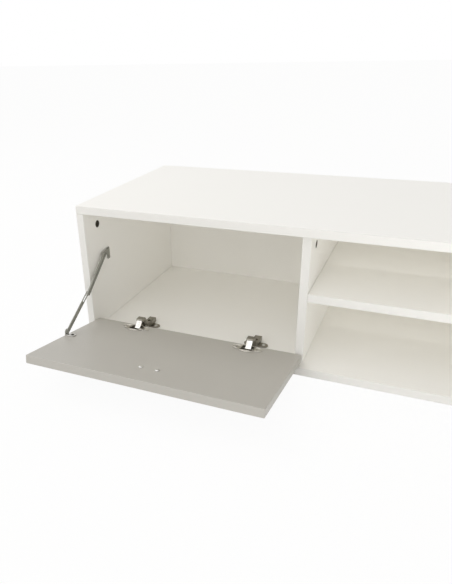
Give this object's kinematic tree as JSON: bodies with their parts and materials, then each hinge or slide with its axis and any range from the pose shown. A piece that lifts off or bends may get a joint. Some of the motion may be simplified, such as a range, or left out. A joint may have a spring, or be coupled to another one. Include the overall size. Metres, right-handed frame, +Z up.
{
  "type": "tv wall unit",
  "caption": "Low white board television cabinet: an open middle bay with a shelf between two side bays closed by grey drop flaps on cup hinges with folding stays.",
  "frame": {"origin": "middle of the bottom panel's underside", "axes": "+X along the front towards the right end, +Y from the front to the wall, +Z up"},
  "size_m": [1.4, 0.6422, 0.29],
  "materials": {
    "white_board": "white melamine-faced chipboard with matching edge band",
    "grey_board": "warm grey melamine-faced chipboard with matching edge band",
    "white_hardboard": "thin white lacquered hardboard",
    "nickel": "nickel plated",
    "plated_steel": "zinc plated",
    "zinc_casting": "dull die-cast zinc"
  },
  "bodies": {
    "cabinet": {"top_panel": "white_board", "bottom_panel": "white_board", "left_side_panel": "white_board", "right_side_panel": "white_board", "left_divider": "white_board", "right_divider": "white_board", "middle_shelf": "white_board", "back_panel": "white_hardboard", "left_side_front_cam": "zinc_casting", "left_side_rear_cam": "zinc_casting", "left_divider_front_cam": "zinc_casting", "left_divider_rear_cam": "zinc_casting", "right_side_front_cam": "zinc_casting", "right_side_rear_cam": "zinc_casting", "right_divider_front_cam": "zinc_casting", "right_divider_rear_cam": "zinc_casting", "left_side_front_base_screw": "plated_steel", "left_side_rear_base_screw": "plated_steel", "left_divider_front_base_screw": "plated_steel", "left_divider_rear_base_screw": "plated_steel", "right_side_front_base_screw": "plated_steel", "right_side_rear_base_screw": "plated_steel", "right_divider_front_base_screw": "plated_steel", "right_divider_rear_base_screw": "plated_steel", "left_front_shelf_pin": "plated_steel", "left_rear_shelf_pin": "plated_steel", "right_front_shelf_pin": "plated_steel", "right_rear_shelf_pin": "plated_steel", "left_flap_left_hinge_arm": "nickel", "left_flap_left_hinge_plate": "nickel", "left_flap_right_hinge_arm": "nickel", "left_flap_right_hinge_plate": "nickel", "right_flap_left_hinge_arm": "nickel", "right_flap_left_hinge_plate": "nickel", "right_flap_right_hinge_arm": "nickel", "right_flap_right_hinge_plate": "nickel", "left_stay_bracket": "plated_steel", "right_stay_bracket": "plated_steel"},
    "left_flap": {"left_flap": "grey_board", "left_pull": "nickel", "left_pull_left_screw": "plated_steel", "left_pull_right_screw": "plated_steel", "left_flap_left_hinge_cup": "nickel", "left_flap_right_hinge_cup": "nickel", "left_stay_foot": "plated_steel"},
    "left_hinge_links": {"left_flap_left_hinge_link": "nickel", "left_flap_right_hinge_link": "nickel"},
    "left_stay_upper": {"left_stay_upper_bar": "plated_steel"},
    "left_stay_lower": {"left_stay_lower_bar": "plated_steel"},
    "right_flap": {"right_flap": "grey_board", "right_pull": "nickel", "right_pull_left_screw": "plated_steel", "right_pull_right_screw": "plated_steel", "right_flap_left_hinge_cup": "nickel", "right_flap_right_hinge_cup": "nickel", "right_stay_foot": "plated_steel"},
    "right_hinge_links": {"right_flap_left_hinge_link": "nickel", "right_flap_right_hinge_link": "nickel"},
    "right_stay_upper": {"right_stay_upper_bar": "plated_steel"},
    "right_stay_lower": {"right_stay_lower_bar": "plated_steel"}
  },
  "joints": [
    {"name": "left_flap_hinge", "type": "hinge", "parent": "cabinet", "child": "left_flap", "pos_m": [-0.4575, -0.197, 0.028], "axis": [-1, 0, 0], "range_deg": [0, 80.5]},
    {"name": "left_link_pivot", "type": "hinge", "parent": "cabinet", "child": "left_hinge_links", "pos_m": [-0.4575, -0.1883, 0.0483], "axis": [1, 0, 0], "range_deg": [0, 27.6]},
    {"name": "left_stay_upper_pivot", "type": "hinge", "parent": "cabinet", "child": "left_stay_upper", "pos_m": [-0.675, -0.1545, 0.173], "axis": [1, 0, 0], "range_deg": [0, 55.2]},
    {"name": "left_stay_lower_pivot", "type": "hinge", "parent": "left_flap", "child": "left_stay_lower", "pos_m": [-0.678, -0.31025, 0.06317], "axis": [-1, 0, 0], "range_deg": [0, 14.8]},
    {"name": "right_flap_hinge", "type": "hinge", "parent": "cabinet", "child": "right_flap", "pos_m": [0.4575, -0.197, 0.028], "axis": [1, 0, 0], "range_deg": [0, 80.5]},
    {"name": "right_link_pivot", "type": "hinge", "parent": "cabinet", "child": "right_hinge_links", "pos_m": [0.4575, -0.1883, 0.0483], "axis": [-1, 0, 0], "range_deg": [0, 27.6]},
    {"name": "right_stay_upper_pivot", "type": "hinge", "parent": "cabinet", "child": "right_stay_upper", "pos_m": [0.675, -0.1545, 0.173], "axis": [-1, 0, 0], "range_deg": [0, 55.2]},
    {"name": "right_stay_lower_pivot", "type": "hinge", "parent": "right_flap", "child": "right_stay_lower", "pos_m": [0.678, -0.181, 0.1455], "axis": [1, 0, 0], "range_deg": [0, 14.8]}
  ],
  "couplings": [
    {"joint": "left_link_pivot", "follows": "left_flap_hinge", "ratio": 0.34235},
    {"joint": "left_stay_upper_pivot", "follows": "left_flap_hinge", "ratio": 0.68503},
    {"joint": "left_stay_lower_pivot", "follows": "left_flap_hinge", "ratio": 0.18339},
    {"joint": "right_link_pivot", "follows": "right_flap_hinge", "ratio": 0.34235},
    {"joint": "right_stay_upper_pivot", "follows": "right_flap_hinge", "ratio": 0.68503},
    {"joint": "right_stay_lower_pivot", "follows": "right_flap_hinge", "ratio": 0.18339}
  ]
}
